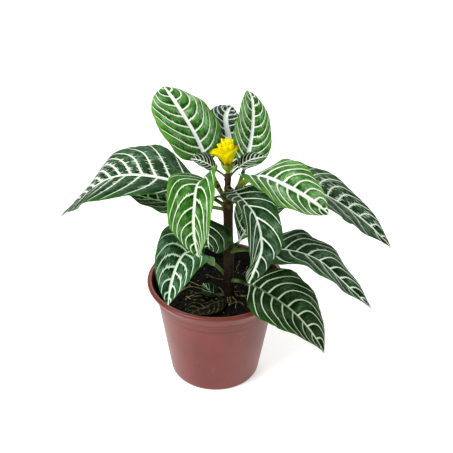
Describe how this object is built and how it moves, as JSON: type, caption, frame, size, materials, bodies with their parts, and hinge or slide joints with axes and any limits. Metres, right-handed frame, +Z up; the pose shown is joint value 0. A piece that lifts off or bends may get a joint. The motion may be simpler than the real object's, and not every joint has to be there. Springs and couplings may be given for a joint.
{
  "type": "potted zebra plant",
  "caption": "House plant with broad dark green leaves striped by pale veins, a woody stem and a yellow bract bud, growing in a round tapered plastic nursery pot.",
  "frame": {"origin": "centre of the pot's flat base, on the surface that it stands on", "axes": "+Z up along the pot's axis; +X to the right and +Y away in the view of the picture"},
  "size_m": [0.2964, 0.206, 0.2476],
  "materials": {
    "pot_plastic": "satin terracotta-coloured moulded plastic",
    "soil": "damp dark potting soil",
    "bark": "dark brown woody stem",
    "leaf_young": "fresh green leaf with cream veins",
    "leaf_old": "dark green leaf with cream veins",
    "leaf_withered": "withered leaf, nearly black",
    "bract_green": "waxy yellow-green bracts",
    "bract_yellow": "waxy bright yellow bracts"
  },
  "bodies": {
    "root": {"pot": "pot_plastic", "soil": "soil", "stem": "bark", "leaf_crown_left": "leaf_young", "leaf_crown_right": "leaf_young", "leaf_crown_back": "leaf_old", "leaf_left_long": "leaf_old", "leaf_left_under": "leaf_old", "leaf_front_left": "leaf_young", "leaf_low_left": "leaf_old", "leaf_right_bright": "leaf_young", "leaf_right_long": "leaf_old", "leaf_front_right": "leaf_old", "leaf_back_right": "leaf_old", "leaf_low_right": "leaf_old", "leaf_low_front": "leaf_old", "leaf_front_inner": "leaf_old", "leaf_small_left": "leaf_young", "leaf_small_right": "leaf_young", "old_leaf": "leaf_withered", "flower_green_bracts": "bract_green", "flower_yellow_bracts": "bract_yellow"}
  },
  "joints": []
}
